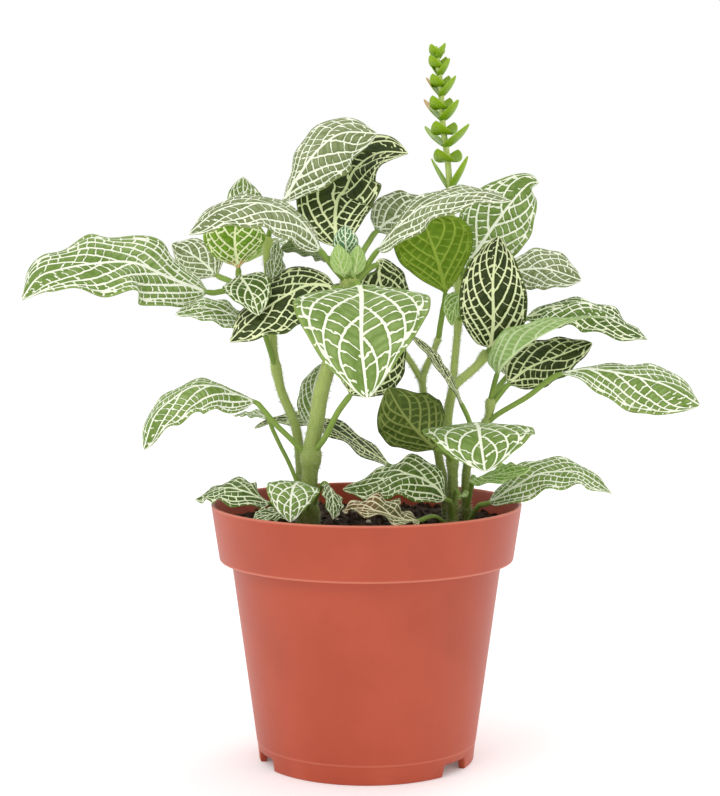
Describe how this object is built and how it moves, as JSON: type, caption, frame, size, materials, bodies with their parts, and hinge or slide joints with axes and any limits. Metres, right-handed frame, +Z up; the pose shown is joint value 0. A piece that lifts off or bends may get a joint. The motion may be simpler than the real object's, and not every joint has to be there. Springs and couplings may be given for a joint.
{
  "type": "potted nerve plant",
  "caption": "White-veined nerve plant with a green flower spike, growing in a terracotta-coloured plastic nursery pot.",
  "frame": {"origin": "middle of the pot's foot ring, on the surface that the pot stands on", "axes": "+Z up along the pot's axis, +X to the right and +Y away from the viewer who faces the big front leaf"},
  "size_m": [0.2515, 0.1426, 0.2779],
  "materials": {
    "terracotta_plastic": "satin",
    "peat_soil": "matte",
    "stem": "matte",
    "green_leaf": "satin",
    "dark_leaf": "satin",
    "silvery_leaf": "satin",
    "young_leaf": "satin"
  },
  "bodies": {
    "root": {"back_leaf_centre": "dark_leaf", "back_leaf_far_right": "dark_leaf", "back_leaf_left": "dark_leaf", "back_leaf_right": "dark_leaf", "backlit_upright_leaf": "young_leaf", "bright_underside_leaf": "young_leaf", "bud_leaf": "green_leaf", "centre_stem": "stem", "curled_small_leaf": "young_leaf", "dark_back_leaf": "dark_leaf", "dark_left_leaf": "dark_leaf", "dark_lower_right_leaf": "dark_leaf", "dark_oval_leaf": "dark_leaf", "dried_curled_leaf": "dark_leaf", "edge_on_leaf": "dark_leaf", "folded_pale_leaf": "young_leaf", "forked_stem": "stem", "front_heart_leaf": "green_leaf", "front_right_leaf": "green_leaf", "front_right_under_leaf": "young_leaf", "inner_back_leaf": "dark_leaf", "left_back_leaf": "silvery_leaf", "left_hidden_leaf": "dark_leaf", "left_large_leaf": "silvery_leaf", "left_lower_leaf": "green_leaf", "left_rim_leaf": "dark_leaf", "left_small_lower_leaf": "green_leaf", "left_stem": "stem", "lower_centre_leaf": "dark_leaf", "lower_front_leaf": "dark_leaf", "narrow_upright_leaf": "dark_leaf", "pot": "terracotta_plastic", "pot_dark_leaf": "dark_leaf", "pot_front_leaf": "green_leaf", "pot_green_leaf": "young_leaf", "right_back_leaf": "green_leaf", "right_back_stem": "stem", "right_grey_leaf": "silvery_leaf", "right_large_leaf": "green_leaf", "right_rim_leaf": "green_leaf", "right_stem": "stem", "shaded_leaf": "dark_leaf", "small_dark_leaf": "dark_leaf", "soil": "peat_soil", "soil_dark_leaf": "dark_leaf", "stub_leaf": "young_leaf", "tall_back_leaf": "dark_leaf", "thin_back_leaf": "dark_leaf", "top_left_back_leaf": "green_leaf", "top_left_leaf": "silvery_leaf", "upper_back_leaf": "silvery_leaf", "upper_left_leaf": "silvery_leaf", "upper_right_back_leaf": "young_leaf", "upper_right_leaf": "silvery_leaf", "young_leaf_left": "young_leaf", "young_leaf_right": "young_leaf"}
  },
  "joints": []
}
